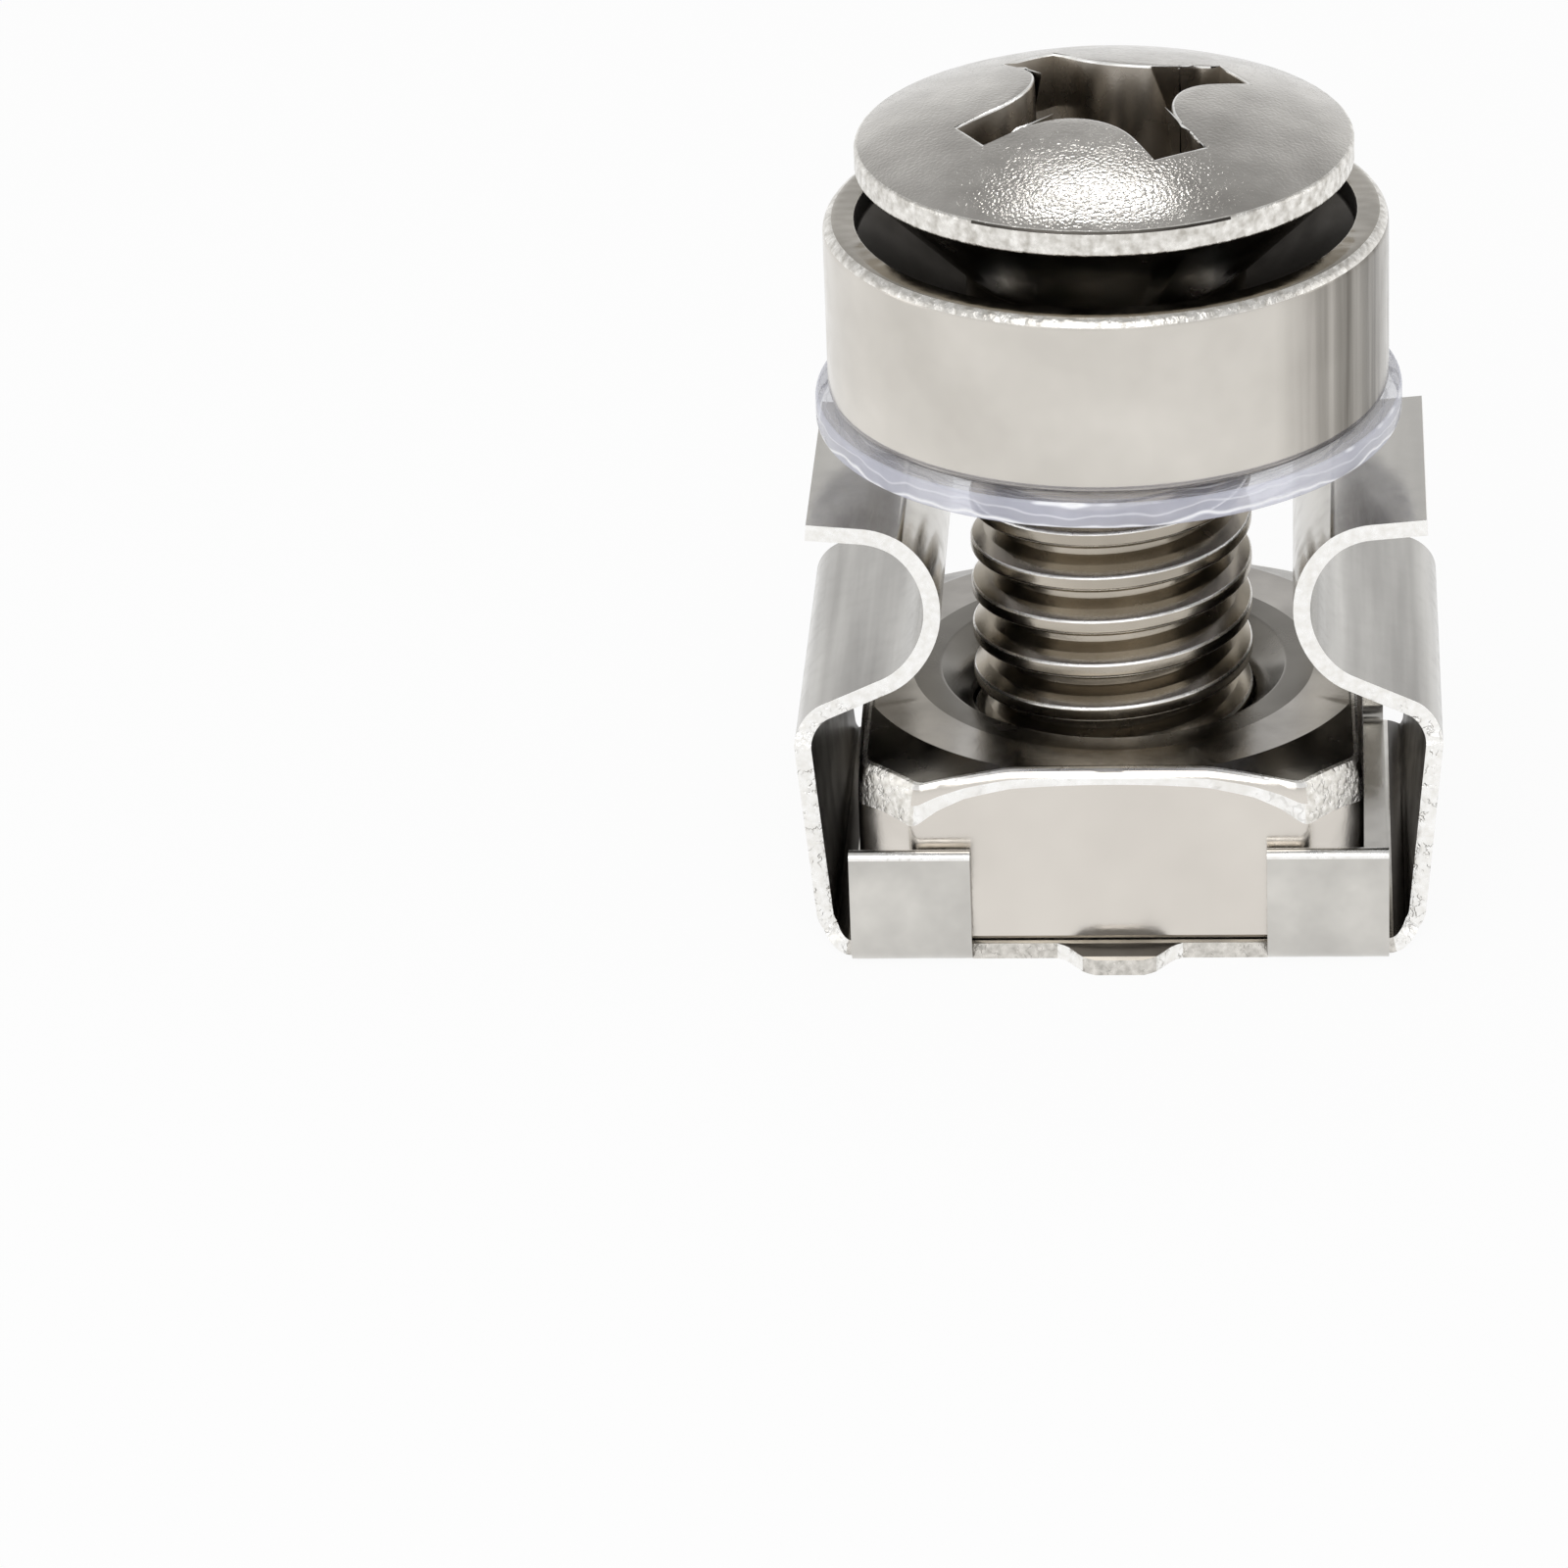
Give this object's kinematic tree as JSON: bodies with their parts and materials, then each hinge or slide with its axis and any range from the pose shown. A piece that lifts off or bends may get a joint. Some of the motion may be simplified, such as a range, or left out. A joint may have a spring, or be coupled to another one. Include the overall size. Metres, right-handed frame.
{
  "type": "rack cage nut with screw",
  "caption": "Square nut floating in a folded spring cage, with a raised countersunk cross-recess screw, a deep metal cup washer and a clear retaining washer.",
  "frame": {"origin": "on the underside of the cage's base plate, in the middle of the plate", "axes": "+Z along the screw's axis, from the base plate to the screw's head; X across the two sprung wings; Y across the upright tabs"},
  "size_m": [0.0134, 0.0122, 0.0172],
  "materials": {
    "nickel_strip": "polished",
    "nickel_nut": "gloss",
    "nickel_screw": "gloss",
    "nickel_cup": "polished",
    "clear_plastic": "gloss"
  },
  "bodies": {
    "root": {"cage": "nickel_strip", "square_nut": "nickel_nut"},
    "washers": {"cup_washer": "nickel_cup", "clear_washer": "clear_plastic"},
    "screw": {"screw": "nickel_screw"}
  },
  "joints": [
    {"name": "screw_travel", "type": "slide", "parent": "root", "child": "washers", "axis": [0, 0, 1], "range_m": [-0.0011, 0.003]},
    {"name": "screw_turn", "type": "hinge", "parent": "washers", "child": "screw", "pos_m": [-0.00018, 0, 0.01], "axis": [0, 0, 1], "range_deg": [-396, 1080]}
  ],
  "couplings": [
    {"joint": "screw_turn", "follows": "screw_travel", "rad_per_m": 6283.2}
  ]
}
